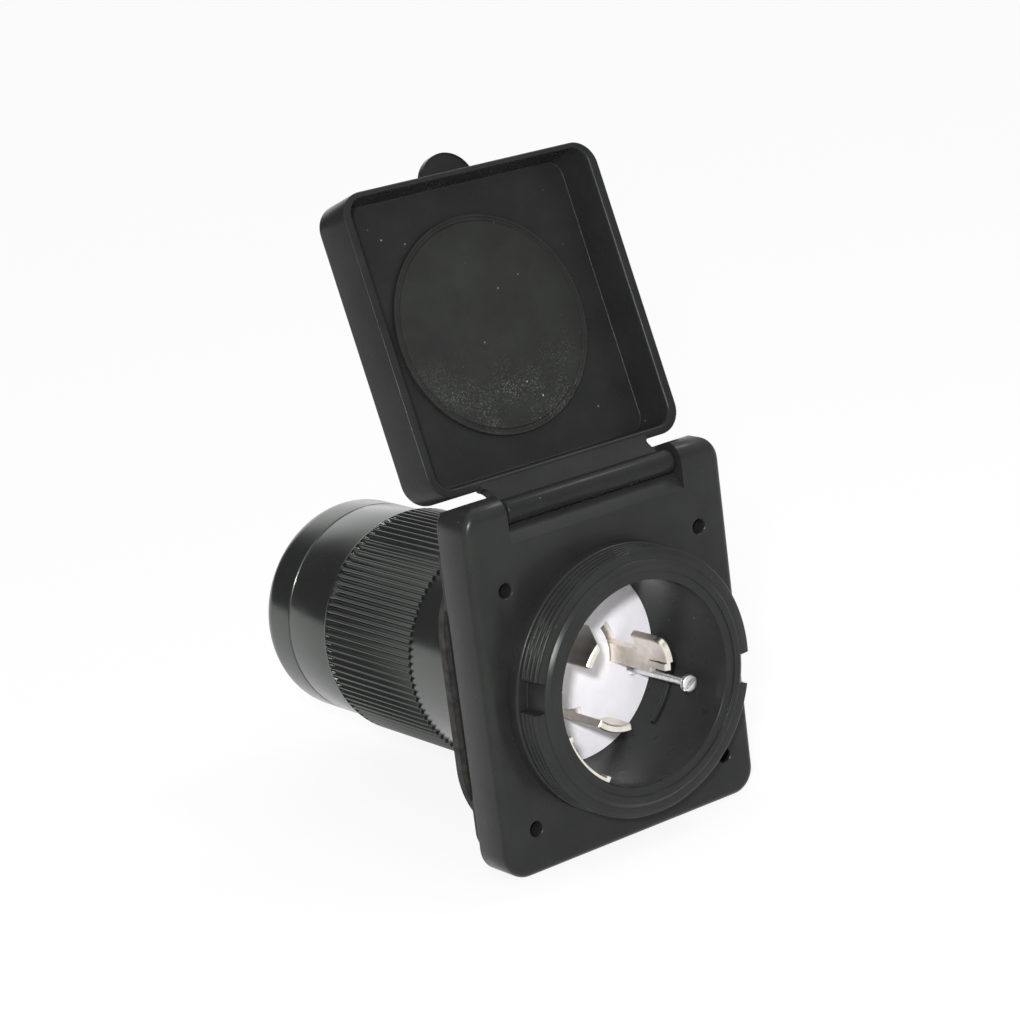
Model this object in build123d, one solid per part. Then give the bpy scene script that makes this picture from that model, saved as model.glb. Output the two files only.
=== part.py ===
from build123d import *
from math import atan2, cos, radians, sin, tan
import os

# Flush-mounted power inlet, in millimetres, with +Z up.
# The origin is on the bore's axis in the panel's plane.
# The mouth faces -Y, and +X is right seen from the front.

# Flange
flange_width = 102.9
flange_bottom = -54.5
flange_corner = 8.5
flange_round = 3.0
flange_rear = -9.0
step_inset = 3.45
step_top = 56.0
screw_edge = 12.2
screw_spacing = flange_width - 2 * screw_edge
screw_hole_r = 2.4

# Gasket
gasket_front = -3.0
gasket_inset = 1.45
gasket_overhang = 13.75
gasket_half_height = screw_spacing / 2 + gasket_overhang
gasket_corner = 32.0

# Hinge: the ears are rounded about the hinge axis
hinge_y = -18.6
hinge_z = 61.9
ear_round = 5.8
flange_front = hinge_y - ear_round
flange_top = hinge_z + ear_round
ear_inner = 35.0
recess_floor = 55.0
recess_chamfer = 1.9
stop_wall_front = -11.0
knuckle_r = 4.0
knuckle_left = -32.9
knuckle_right = 34.4
neck_inset = 1.8
neck_start_angle = 65.0
pin_r = 1.5
pin_half = 45.0
running_fit = 0.06
stop_gap = 0.35

# Lid, measured from the hinge: away from it, and back from the hinge axis to the rim's plane
lid_lean_angle = 18.4
lid_margin = 1.3
lid_width = flange_width - 2 * lid_margin
lid_near = 8.84
lid_length = 99.3
lid_rim = 7.63
lid_depth = 17.2
lid_corner = 8.5
lid_back_round = 1.5
lid_draft_angle = 0.8
rim_side = 3.5
rim_near = 3.0
rim_far = 1.8
pocket_depth = 14.6
pocket_draft_angle = 3.0
neck_thickness = 4.0
slot_end_r = 1.6
tab_r = 10.4
tab_centre = 96.9
tab_front = 12.2
tab_thickness = 2.6

# Rubber pad in the lid
pad_r = 36.35
pad_centre = 50.0
pad_depth = 13.0
pad_lip = 1.9
pad_lip_height = 0.5

# Mouth, and the collar round it
bore_r = 33.2
bore_edge = 0.5
seat_width = 3.0
seat_depth = 0.7
seat_r = bore_r + seat_width
collar_front = -38.9
collar_wall = 6.7
collar_r = bore_r + collar_wall
collar_bevel = 1.1
collar_bevel_width = 1.4
thread_height = 2.6
thread_root_r = collar_r + thread_height
thread_front = -37.6
thread_chamfer = 0.7
thread_gap_angle = 13.0
thread_gap_middle_angle = -9.5
boss_margin = 1.4
boss_r = thread_root_r + boss_margin
boss_height = 4.5
boss_round = 0.8
rib_y = -11.0
rib_width = 1.8
rib_height = 1.0
rib_start_angle = -50.0
rib_end_angle = -12.0

# Contact carrier and the ledge it sits on
carrier_face = -0.6
carrier_thickness = 9.8
carrier_slack = 0.15
ledge_thickness = 3.8
ledge_width = 3.7
ledge_r = bore_r - ledge_width
ledge_rear = carrier_face + carrier_thickness + ledge_thickness
slot_slack = 0.35

# Blades: arcs of one ring, set a third of a turn apart
blade_inner = 15.5
blade_thickness = 2.5
blade_outer = blade_inner + blade_thickness
right_blade_tip = -30.4
upper_blade_tip = -29.6
lower_blade_tip = -27.2
blade_angle = 47.0
neck_angle = 24.0
neck_length = 15.0
first_blade_angle = -14.0
blade_edge = 0.4
blade_corner = 0.8
right_corner = 3.0
foot_depth = 1.5
hook_start_angle = 6.0
hook_angle = 8.0
hook_back = 1.9
hook_length = 9.5
slit_angle = 2.5
step_cut_angle = 20.0
step_cut_length = 11.5

# Long screw beside the right blade
screw_x = 24.0
screw_z = -8.7
screw_r = 1.3
screw_head_r = 3.1
screw_head_length = 1.6
screw_head_round = 0.9
screw_head_front = -30.2
screw_flare_r = 2.5
screw_flare_length = 2.4
screw_slot_width = 0.9
screw_slot_depth = 0.8
screw_slot_angle = 29.0
screw_well_r = 2.7
screw_well_depth = 2.5

# Earth strip along the bore's lower left wall
strip_start_angle = 196.0
strip_end_angle = 237.0
strip_thickness = 0.9
strip_front = -36.8
strip_gap = 0.1
strip_hook_angle = 3.0
strip_tab_inner = 22.0
strip_slack_angle = 1.0
lug_start_angle = 200.5
lug_angle = 14.0

# Terminals behind the carrier
block_slack = 0.3
block_r = bore_r - block_slack
block_rear = 38.0
clamp_length = 10.0
clamp_angle = 34.0
clamp_outer = 27.0
wire_r = 3.0
tail_over = 2.0
terminal_screw_r = 2.0
terminal_head_r = 3.2
terminal_head_height = 2.4
block_screw_r = 1.6
block_screw_head_r = 3.0
block_screw_head_height = 2.2
block_screw_radius = 24.5
block_screw_depth = 6.0

# Barrel: the tube through the panel, the coupling ring, the rear barrel and its cap
spigot_wall = 2.3
spigot_r = bore_r + spigot_wall
spigot_step = 2.0
barrel_r = spigot_r + spigot_step
tube_margin = 0.7
tube_r = barrel_r + tube_margin
tube_end = 37.0
ring_slack = 0.2
ring_length = 49.6
ring_wall = 2.6
ring_root_r = spigot_r + ring_wall
rib_count = 96
grip_height = 1.1
rib_crest_r = ring_root_r + grip_height
rib_base = 1.7
rib_top = 0.8
rib_margin = 0.5
seal_y = 62.0
seal_thickness = 2.0
barrel_wall = 4.9
barrel_inner = barrel_r - barrel_wall
barrel_end = 111.5
seam_chamfer = 0.5
cap_length = 19.0
cap_end = barrel_end + cap_length
cap_round = 8.0
cap_wall = 3.0
cap_spigot = 8.0
cap_slack = 0.1
cap_hole_r = 13.0
cord_r = 9.0
grommet_lip = 3.0
grommet_lip_height = 3.0

ring_start = tube_end + ring_slack
ring_end = ring_start + ring_length
barrel_start = ring_end + ring_slack
carrier_rear = carrier_face + carrier_thickness
open_lid = Pos(0, hinge_y, hinge_z) * Rot(X=-lid_lean_angle)


def turned(*profile):
    """Solid turned about the bore's axis from (radius, y) points."""
    return revolve(make_face(Polyline(*profile, close=True)), Axis.Y)


def tube(inner, outer, front, rear):
    """Plain ring about the bore's axis."""
    return turned((inner, front), (outer, front), (outer, rear), (inner, rear))


def rod(radius, front, rear, x=0.0, z=0.0):
    """Round bar along Y."""
    return Pos(x, (front + rear) / 2, z) * Rot(X=90) * Cylinder(radius, rear - front)


def plate(outline, front, rear):
    """Outline drawn seen from the front, made solid between two y values."""
    return extrude(Plane.XZ.offset(-rear) * outline, rear - front)


def across(outline, left, right):
    """Outline drawn in the Y-Z plane, made solid between two x values."""
    return extrude(Plane.YZ.offset(left) * outline, right - left)


def rounded(width, bottom, top, radius):
    """Rounded rectangle centred on X, between two heights."""
    return Pos(0, (bottom + top) / 2) * RectangleRounded(width, top - bottom, radius)


def sector(inner, outer, start, end):
    """Piece of a ring between two angles, counted from +X as seen from the front."""
    outer_arc = CenterArc((0, 0), outer, start, end - start)
    inner_arc = CenterArc((0, 0), inner, start, end - start)
    sides = [Line(inner_arc @ 0, outer_arc @ 0), Line(inner_arc @ 1, outer_arc @ 1)]
    return make_face([outer_arc, inner_arc, *sides])


def polar(radius, angle):
    """Point at an angle from +X as seen from the front."""
    return radius * cos(radians(angle)), radius * sin(radians(angle))


def radial_rod(radius, inner, outer, angle, y):
    """Round bar standing out from the bore's axis."""
    bar = Pos((inner + outer) / 2, 0, 0) * Rot(Y=90) * Cylinder(radius, outer - inner)
    return Pos(0, y, 0) * Rot(Y=-angle) * bar


def strip_slot(inner, outer):
    """Sector that the earth strip passes through."""
    return sector(inner, outer, strip_start_angle - strip_slack_angle, strip_end_angle + strip_slack_angle)


def screw_places():
    """The four panel screws, seen from the front."""
    half = screw_spacing / 2
    return [(x, z) for x in (-half, half) for z in (-half, half)]


def blade_starts():
    return [first_blade_angle + 120.0 * turn for turn in range(3)]


def neck_outline():
    """Section of the lid's neck, from the knuckle to the lid's near wall, hinge at the origin."""
    inner_end = (lid_rim, lid_near + rim_near / 2)
    outer_end = (lid_rim + neck_thickness, lid_near + rim_near / 2)
    start = polar(knuckle_r, neck_start_angle)
    return make_face(Polyline(start, inner_end, outer_end, (knuckle_r, 0), (0, 0), close=True))


def stop_line():
    """Two points under the open lid's neck, clear of it by the stop's gap."""
    lean = radians(lid_lean_angle)
    points = []
    for y, z in ((knuckle_r, 0.0), (lid_rim + neck_thickness, lid_near + rim_near / 2)):
        points.append((hinge_y + y * cos(lean) + z * sin(lean), hinge_z - y * sin(lean) + z * cos(lean)))
    (y0, z0), (y1, z1) = points
    slope = (z1 - z0) / (y1 - y0)
    drop = stop_gap / cos(atan2(z1 - z0, y1 - y0))
    return lambda y: z0 + slope * (y - y0) - drop


def flange_plate():
    """Flange with its rounded front edge, its ears shaped round the hinge, and the step behind it."""
    outline = rounded(flange_width, flange_bottom, flange_top, flange_corner)
    body = plate(outline, flange_front, flange_rear)
    body = fillet(body.faces().sort_by(Axis.Y)[0].edges(), flange_round)

    # Ears: round over the hinge, then falling to the rear along the open lid's near wall
    over = CenterArc((hinge_y, hinge_z), ear_round, 180, -90 - lid_lean_angle)
    lean = radians(lid_lean_angle)
    crest_y = hinge_y + ear_round * sin(lean)
    crest_z = hinge_z + ear_round * cos(lean)
    rear = flange_rear + 1
    above = Polyline(
        (crest_y, crest_z),
        (rear, crest_z - (rear - crest_y) * tan(lean)),
        (rear, flange_top + 1),
        (flange_front - 1, flange_top + 1),
        (flange_front - 1, hinge_z),
        (flange_front, hinge_z),
    )
    body -= across(make_face([over, *above.edges()]), -flange_width, flange_width)

    inset = rounded(flange_width - 2 * step_inset, flange_bottom + step_inset, step_top, flange_corner)
    return body + plate(inset, flange_rear, gasket_front)


def hinge_recess():
    """Space between the ears, with the wall at its back that stops the open lid."""
    stop = stop_line()
    rear = flange_rear + 1
    ahead = flange_front - 1
    outline = Polyline(
        (ahead, recess_floor - recess_chamfer - 1),
        (flange_front + recess_chamfer, recess_floor),
        (stop_wall_front, recess_floor),
        (stop_wall_front, stop(stop_wall_front)),
        (rear, stop(rear)),
        (rear, flange_top + 1),
        (ahead, flange_top + 1),
        close=True,
    )
    return across(make_face(outline), -ear_inner, ear_inner)


def collar():
    """Boss, collar and thread bands in front of the flange, still without the bore."""
    boss_front = flange_front - boss_height
    body = turned(
        (0, flange_front + 1),
        (boss_r, flange_front + 1),
        (boss_r, boss_front + boss_round),
        (boss_r - boss_round, boss_front),
        (collar_r, boss_front),
        (collar_r, collar_front + collar_bevel),
        (collar_r - collar_bevel_width, collar_front),
        (0, collar_front),
    )
    band = turned(
        (collar_r - 1, thread_front),
        (thread_root_r - thread_chamfer, thread_front),
        (thread_root_r, thread_front + thread_chamfer),
        (thread_root_r, boss_front + 1),
        (collar_r - 1, boss_front + 1),
    )
    half_gap = thread_gap_angle / 2
    for side in (0.0, 180.0):
        middle = thread_gap_middle_angle + side
        gap = sector(collar_r, thread_root_r + 1, middle - half_gap, middle + half_gap)
        band -= plate(gap, thread_front - 1, boss_front)
    return body + band


def flange_housing():
    """Moulded front: flange, collar and the tube that passes through the panel."""
    body = flange_plate() - hinge_recess()
    body += collar()
    body += turned(
        (0, flange_rear),
        (tube_r, flange_rear),
        (tube_r, tube_end),
        (spigot_r, tube_end),
        (spigot_r, seal_y),
        (0, seal_y),
    )
    seat = collar_front + seat_depth
    body -= turned(
        (0, collar_front - 1),
        (seat_r, collar_front - 1),
        (seat_r, seat),
        (bore_r + bore_edge, seat),
        (bore_r, seat + bore_edge),
        (bore_r, carrier_rear),
        (ledge_r, carrier_rear),
        (ledge_r, ledge_rear),
        (bore_r, ledge_rear),
        (bore_r, seal_y + 1),
        (0, seal_y + 1),
    )
    body -= plate(strip_slot(ledge_r - 1, bore_r), carrier_rear - 1, ledge_rear + 1)
    bore_rib = sector(bore_r - rib_height, bore_r + 1, rib_start_angle, rib_end_angle)
    body += plate(bore_rib, rib_y - rib_width / 2, rib_y + rib_width / 2)
    for x, z in screw_places():
        body -= rod(screw_hole_r, flange_front - 1, gasket_front + 1, x, z)
    body -= Pos(0, hinge_y, hinge_z) * Rot(Y=90) * Cylinder(pin_r, 2 * pin_half)
    return body


def lid():
    """Hollow lid with its neck, knuckle and finger tab, built round the hinge axis and then opened."""
    back = Plane(origin=(0, lid_rim, 0), x_dir=(1, 0, 0), z_dir=(0, 1, 0))
    lid_far = lid_near + lid_length
    outside = rounded(lid_width, -lid_far, -lid_near, lid_corner)
    tray = extrude(back * outside, lid_depth, taper=lid_draft_angle)
    tray = fillet(tray.faces().sort_by(Axis.Y)[-1].edges(), lid_back_round)

    pocket_width = lid_width - 2 * rim_side
    pocket = rounded(pocket_width, -(lid_far - rim_far), -(lid_near + rim_near), lid_corner - rim_near)
    tray -= extrude(back * pocket, pocket_depth, taper=pocket_draft_angle)

    # Finger tab on the far wall
    tab_start = lid_rim + tab_front
    tab = plate(Pos(0, lid_near + tab_centre) * Circle(tab_r), tab_start, tab_start + tab_thickness)
    beyond = Pos(0, lid_rim + lid_depth / 2, lid_far - rim_far / 2 + tab_r)
    tab &= beyond * Box(2 * tab_r, lid_depth, 2 * tab_r)

    neck = across(neck_outline(), knuckle_left + neck_inset, knuckle_right - neck_inset)
    middle = (knuckle_left + knuckle_right) / 2
    knuckle = Pos(middle, 0, 0) * Rot(Y=90) * Cylinder(knuckle_r, knuckle_right - knuckle_left)
    body = tray + tab + neck + knuckle
    slot_ends = [
        edge
        for edge in body.edges()
        if lid_near - 0.01 < edge.center().Z < lid_near + 0.5
        and abs(abs(edge.center().X - middle) - (knuckle_right - knuckle_left) / 2 + neck_inset) < 0.01
    ]
    body = fillet(slot_ends, slot_end_r)
    body -= Rot(Y=90) * Cylinder(pin_r + running_fit, lid_width)
    return open_lid * body


def lid_pad():
    """Rubber disc with a raised lip, bonded to the lid's floor."""
    centre = Pos(0, lid_near + pad_centre)
    front = lid_rim + pad_depth
    disc = plate(centre * Circle(pad_r), front, lid_rim + pocket_depth)
    disc -= plate(centre * Circle(pad_r - pad_lip), front - 1, front + pad_lip_height)
    return open_lid * disc


def hinge_pin():
    return Pos(0, hinge_y, hinge_z) * Rot(Y=90) * Cylinder(pin_r, 2 * pin_half)


def flange_gasket():
    """Sheet gasket between the flange and the panel."""
    width = flange_width - 2 * gasket_inset
    sheet = plate(rounded(width, -gasket_half_height, gasket_half_height, gasket_corner), gasket_front, 0.0)
    sheet -= rod(tube_r, gasket_front - 1, 1.0)
    for x, z in screw_places():
        sheet -= rod(screw_hole_r, gasket_front - 1, 1.0, x, z)
    return sheet


def contact_carrier():
    """White insulating disc with blade slots, a well for the long screw and a notch for the strip."""
    body = rod(bore_r - carrier_slack, carrier_face, carrier_rear)
    for start in blade_starts():
        slot = sector(blade_inner - slot_slack, blade_outer + slot_slack, start, start + blade_angle)
        body -= plate(slot, carrier_face - 1, carrier_face + carrier_thickness / 2)
        neck = sector(blade_inner, blade_outer, start, start + neck_angle)
        body -= plate(neck, carrier_face - 1, carrier_rear + 1)
    body -= rod(screw_well_r, carrier_face - 1, carrier_face + screw_well_depth, screw_x, screw_z)
    body -= rod(screw_r, carrier_face - 1, carrier_rear + 1, screw_x, screw_z)
    notch = strip_slot(bore_r - strip_thickness - 2 * strip_gap, bore_r + 1)
    body -= plate(notch, carrier_face - 1, carrier_rear + 1)
    for x, z in block_screw_places():
        body -= rod(block_screw_r, carrier_rear - block_screw_depth, carrier_rear + 1, x, z)
    return body


def blade(start, tip, corner):
    """Curved blade: a wide head in front and a foot in its slot, on a neck that runs back to its terminal."""
    tail_end = block_rear + clamp_length + tail_over
    head_rear = carrier_face - neck_length
    wide = sector(blade_inner, blade_outer, start, start + blade_angle)
    head = plate(wide, tip, head_rear)
    far_x, far_z = polar(blade_inner + blade_thickness / 2, start + blade_angle)
    head = fillet(head.edges().sort_by_distance((far_x, tip, far_z))[0], corner)
    head = chamfer(head.faces().sort_by(Axis.Y)[0].edges(), blade_edge)
    foot = plate(wide, carrier_face + foot_depth, carrier_face + carrier_thickness / 2)
    neck = plate(sector(blade_inner, blade_outer, start, start + neck_angle), head_rear, tail_end)
    return head + foot + neck


def blade_right():
    """Blade whose lower edge ends in a short hook, parted from the head by a slit."""
    start = blade_starts()[0]
    tip = right_blade_tip
    inner = blade_inner - 1
    outer = blade_outer + 1
    hook_top = start + hook_start_angle + hook_angle
    body = blade(start, tip, right_corner)
    body -= plate(sector(inner, outer, start - 1, start + hook_start_angle), tip - 1, tip + hook_length)
    body -= plate(sector(inner, outer, start, hook_top), tip - 1, tip + hook_back)
    return body - plate(sector(inner, outer, hook_top, hook_top + slit_angle), tip - 1, tip + hook_length)


def blade_upper():
    """Blade whose tip is cut back on a slope."""
    start = blade_starts()[1]
    tip = upper_blade_tip
    low = blade_outer + 1
    foot = polar(low, start)
    reach = 2 * low * sin(radians(step_cut_angle) / 2)
    slope = make_face(
        Polyline(
            (-low, tip - 1),
            (reach, tip - 1),
            (reach, tip),
            (0, tip + step_cut_length),
            (-low, tip + step_cut_length),
            close=True,
        )
    )
    turn = Rot(Y=-(start + 90 + step_cut_angle / 2))
    wedge = Pos(foot[0], 0, foot[1]) * turn * extrude(slope, low / 2, both=True)
    return blade(start, tip, blade_corner) - wedge


def blade_lower():
    return blade(blade_starts()[2], lower_blade_tip, blade_corner)


def ground_strip():
    """Earth strip against the bore's wall, with bent lips in front and a lug on the terminal block."""
    outer = bore_r - strip_gap
    inner = outer - strip_thickness
    lug_rear = block_rear + strip_thickness
    body = plate(sector(inner, outer, strip_start_angle, strip_end_angle), strip_front, lug_rear)
    lug = sector(strip_tab_inner, outer, lug_start_angle, lug_start_angle + lug_angle)
    body += plate(lug, block_rear, lug_rear)
    body -= rod(terminal_screw_r, block_rear - 1, block_rear + 2, *ground_screw_place())
    for low in (strip_start_angle, strip_end_angle - strip_hook_angle):
        bent = sector(inner - strip_thickness, inner + strip_thickness / 2, low, low + strip_hook_angle)
        body += plate(bent, strip_front, strip_front + 3 * strip_thickness)
    return body


def carrier_screw():
    """Long screw standing out of the carrier, its slotted head on a flared neck."""
    head_rear = screw_head_front + screw_head_length
    body = turned(
        (0, screw_head_front),
        (screw_head_r, screw_head_front),
        (screw_head_r, head_rear),
        (screw_flare_r, head_rear),
        (screw_r, head_rear + screw_flare_length),
        (screw_r, carrier_rear),
        (0, carrier_rear),
    )
    body = fillet(body.edges().sort_by(Axis.Y)[0], screw_head_round)
    slot = Box(3 * screw_head_r, 2 * screw_slot_depth, screw_slot_width)
    body -= Pos(0, screw_head_front, 0) * Rot(Y=-screw_slot_angle) * slot
    return Pos(screw_x, 0, screw_z) * body


def block_screw_places():
    """Midway between the terminal clamps."""
    return [polar(block_screw_radius, angle + 60.0) for angle in clamp_angles()]


def ground_screw_place():
    return polar((strip_tab_inner + clamp_outer) / 2 + 1, lug_start_angle + lug_angle / 2)


def terminal_block():
    """Insulating block behind the ledge, gripping it against the carrier."""
    body = rod(block_r, ledge_rear, block_rear) + rod(ledge_r - carrier_slack, carrier_rear, ledge_rear)
    for start in blade_starts():
        neck = sector(blade_inner, blade_outer, start, start + neck_angle)
        body -= plate(neck, carrier_rear - 1, block_rear + 1)
    notch = strip_slot(bore_r - strip_thickness - 2 * strip_gap, bore_r + 1)
    body -= plate(notch, carrier_rear - 1, block_rear + 1)
    for x, z in block_screw_places():
        body -= rod(block_screw_r, carrier_rear - 1, block_rear + 1, x, z)
    x, z = ground_screw_place()
    body -= rod(terminal_screw_r, block_rear - clamp_length, block_rear + 1, x, z)
    return body


def clamp_angles():
    return [start + neck_angle / 2 for start in blade_starts()]


def terminal_clamps():
    """A brass wire clamp on the tail of each blade."""
    clamps = []
    for angle in clamp_angles():
        body = sector(blade_outer, clamp_outer, angle - clamp_angle / 2, angle + clamp_angle / 2)
        body = plate(body, block_rear, block_rear + clamp_length)
        middle = (blade_outer + clamp_outer) / 2
        body -= rod(wire_r, block_rear - 1, block_rear + clamp_length + 1, *polar(middle, angle))
        body -= radial_rod(terminal_screw_r, middle, clamp_outer + 1, angle, block_rear + clamp_length / 2)
        clamps.append(body)
    return Compound(clamps)


def terminal_screws():
    """A screw in each clamp, and one through the earth strip's lug."""
    screws = []
    y = block_rear + clamp_length / 2
    for angle in clamp_angles():
        shank = radial_rod(terminal_screw_r, clamp_outer - terminal_head_height, clamp_outer, angle, y)
        head = radial_rod(terminal_head_r, clamp_outer, clamp_outer + terminal_head_height, angle, y)
        screws.append(shank + head)
    x, z = ground_screw_place()
    lug_rear = block_rear + strip_thickness
    shank = rod(terminal_screw_r, block_rear - clamp_length, lug_rear, x, z)
    screws.append(shank + rod(terminal_head_r, lug_rear, lug_rear + terminal_head_height, x, z))
    return Compound(screws)


def block_screws():
    """Three screws that draw the carrier and the terminal block together on the ledge."""
    screws = []
    for x, z in block_screw_places():
        shank = rod(block_screw_r, carrier_rear - block_screw_depth, block_rear, x, z)
        head = rod(block_screw_head_r, block_rear, block_rear + block_screw_head_height, x, z)
        screws.append(shank + head)
    return Compound(screws)


def coupling_ring():
    """Ribbed ring that turns on both spigots and locks the barrel to the tube."""
    ring = tube(spigot_r + running_fit, ring_root_r, ring_start, ring_end)
    foot = ring_root_r - 0.4
    rib = make_face(
        Polyline(
            (foot, -rib_base / 2),
            (rib_crest_r, -rib_top / 2),
            (rib_crest_r, rib_top / 2),
            (foot, rib_base / 2),
            close=True,
        )
    )
    rib = plate(rib, ring_start + rib_margin, ring_end - rib_margin)
    ribs = [Rot(Y=360.0 / rib_count * turn) * rib for turn in range(rib_count)]
    return ring + ribs


def barrel_seal():
    """Flat sealing ring between the two spigots."""
    return tube(barrel_inner, spigot_r, seal_y, seal_y + seal_thickness)


def rear_barrel():
    """Smooth barrel behind the coupling ring."""
    front = seal_y + seal_thickness
    return turned(
        (barrel_inner, front),
        (spigot_r, front),
        (spigot_r, barrel_start),
        (barrel_r, barrel_start),
        (barrel_r, barrel_end - seam_chamfer),
        (barrel_r - seam_chamfer, barrel_end),
        (barrel_inner, barrel_end),
    )


def end_cap():
    """Closed rear end, plugged into the barrel, with the hole for the cord's grommet."""
    body = rod(barrel_r, barrel_end, cap_end)
    body = fillet(body.edges().sort_by(Axis.Y)[-1], cap_round)
    body = chamfer(body.edges().sort_by(Axis.Y)[0], seam_chamfer)
    spigot = barrel_inner - cap_slack
    body += rod(spigot, barrel_end - cap_spigot, barrel_end + 1)
    inside = spigot - cap_wall
    body -= rod(inside, barrel_end - cap_spigot - 1, cap_end - cap_wall)
    return body - rod(cap_hole_r, barrel_end, cap_end + 1)


def cord_grommet():
    """Rubber bush that grips the edge of the cap's hole."""
    inner_lip = cap_end - cap_wall - grommet_lip_height
    outer_lip = cap_end + grommet_lip_height
    lip = cap_hole_r + grommet_lip
    return turned(
        (cord_r, inner_lip),
        (lip, inner_lip),
        (lip, cap_end - cap_wall),
        (cap_hole_r, cap_end - cap_wall),
        (cap_hole_r, cap_end),
        (lip, cap_end),
        (cap_hole_r, outer_lip),
        (cord_r, outer_lip),
    )


nodes = [
    flange_housing,
    lid,
    lid_pad,
    hinge_pin,
    flange_gasket,
    contact_carrier,
    blade_right,
    blade_upper,
    blade_lower,
    ground_strip,
    carrier_screw,
    terminal_block,
    terminal_clamps,
    terminal_screws,
    block_screws,
    coupling_ring,
    barrel_seal,
    rear_barrel,
    end_cap,
    cord_grommet,
]

os.makedirs("parts", exist_ok=True)
for node in nodes:
    solid = node()
    export_step(solid, f"parts/{node.__name__}.step")
    print(node.__name__, len(solid.solids()), round(solid.volume))
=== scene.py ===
import bmesh
import bpy
from math import atan2, cos, pi, radians, sin, sqrt, tan
from mathutils import Matrix, Vector


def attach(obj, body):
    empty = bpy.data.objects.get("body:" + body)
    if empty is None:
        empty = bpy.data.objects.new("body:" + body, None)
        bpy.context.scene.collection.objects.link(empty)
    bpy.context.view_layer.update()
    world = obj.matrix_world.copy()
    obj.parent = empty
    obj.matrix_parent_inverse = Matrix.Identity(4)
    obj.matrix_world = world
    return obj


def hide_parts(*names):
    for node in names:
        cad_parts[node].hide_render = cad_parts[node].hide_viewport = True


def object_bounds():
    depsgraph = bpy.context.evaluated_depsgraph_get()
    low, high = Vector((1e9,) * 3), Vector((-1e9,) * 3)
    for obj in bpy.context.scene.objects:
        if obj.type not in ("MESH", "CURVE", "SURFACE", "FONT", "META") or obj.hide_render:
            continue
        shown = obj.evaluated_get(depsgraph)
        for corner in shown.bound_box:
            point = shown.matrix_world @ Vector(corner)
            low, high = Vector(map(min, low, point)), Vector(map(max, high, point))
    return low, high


# Power inlet with its lid open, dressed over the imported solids.
# Lengths are in millimetres until a mesh is made.

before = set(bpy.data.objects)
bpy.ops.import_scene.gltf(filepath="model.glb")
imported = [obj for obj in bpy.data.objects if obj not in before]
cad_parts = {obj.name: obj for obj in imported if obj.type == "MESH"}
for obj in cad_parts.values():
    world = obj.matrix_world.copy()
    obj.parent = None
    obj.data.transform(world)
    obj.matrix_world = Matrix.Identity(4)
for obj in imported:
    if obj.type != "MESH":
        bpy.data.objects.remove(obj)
cad_low, cad_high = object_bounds()
MM = 0.001

# How far a cutting shape passes the piece that it cuts
CLEAR = 2.0
CLEAR_ABOVE = 3.0

# Flange, with the step behind it and the holes for the panel's screws
FLANGE_HALF = 51.45
FLANGE_BOTTOM = -54.5
FLANGE_TOP = 67.7
FLANGE_CORNER = 8.5
FLANGE_ROUND = 3.0
FLANGE_FRONT = -24.4
FLANGE_REAR = -9.0
STEP_INSET = 3.45
STEP_TOP = 56.0
HOLE_HALF_SPACING = 39.25
HOLE_R = 2.4

# Gasket
GASKET_FRONT = -3.0
GASKET_HALF_WIDTH = 50.0
GASKET_HALF_HEIGHT = 53.0
GASKET_CORNER = 32.0

# Hinge: ears, recess with a cradle for the knuckle, the lid's stop, knuckle and neck
HINGE_Y = -18.6
HINGE_Z = 61.9
EAR_ROUND = 5.8
EAR_INNER = 35.0
RECESS_FLOOR = 55.0
RECESS_CHAMFER = 1.9
CRADLE_GAP = 0.15
CRADLE_START = 253
CRADLE_END = 330
STOP_WALL = -11.0
STOP_Z = 62.89
STOP_SLOPE = 0.705
KNUCKLE_R = 4.0
KNUCKLE_LEFT = -32.9
KNUCKLE_RIGHT = 34.4
NECK_INSET = 1.8
NECK_THICKNESS = 4.0
NECK_START = Vector((1.69, 3.63))
NECK_SLOT_R = 1.6

# Lid, measured from the hinge's axis
LID_LEAN = radians(18.4)
LID_HALF = 50.15
LID_NEAR = 8.84
LID_FAR = 108.14
LID_RIM = 7.63
LID_DEPTH = 17.2
LID_CORNER = 8.5
LID_DRAFT = radians(0.8)
LID_BACK_ROUND = 1.5
RIM_SIDE = 3.5
RIM_NEAR = 3.0
RIM_FAR = 1.8
RIM_OUTER_ROUND = 0.5
RIM_INNER_ROUND = 1.1
POCKET_DEPTH = 14.6
POCKET_SLOPE = radians(3)
POCKET_ROUND = 0.4
TAB_R = 10.38
TAB_CENTRE = LID_NEAR + 96.9
TAB_FRONT = LID_RIM + 12.2
TAB_THICKNESS = 2.6
PAD_R = 36.35
PAD_CENTRE = 58.84
PAD_FRONT = 20.63
PAD_GROOVE = 0.8

# Collar, bore and the ledge that the carrier sits on
BORE_R = 33.2
SEAT_R = 36.2
SEAT_DEPTH = 0.7
COLLAR_FRONT = -38.9
COLLAR_LIP_R = 38.5
COLLAR_R = 39.9
COLLAR_BEVEL = 1.1
BOSS_R = 43.9
BOSS_FRONT = -28.9
LEDGE_R = 29.5
LEDGE_FRONT = 9.2
LEDGE_REAR = 13.0

# Thread on the collar, with a gap at each side
THREAD_ROOT = 42.5
THREAD_CREST = 43.4
THREAD_FRONT = -37.6
THREAD_PITCH = 2.1
THREAD_PHASE = 0.745
THREAD_GAP = radians(13.0)
THREAD_GAP_MIDDLE = radians(-9.5)

# Short rib on the bore's wall
BORE_RIB_Y = -11.0
BORE_RIB_WIDTH = 1.8
BORE_RIB_HEIGHT = 1.0
BORE_RIB_START = radians(-50)
BORE_RIB_END = radians(-12)

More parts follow.
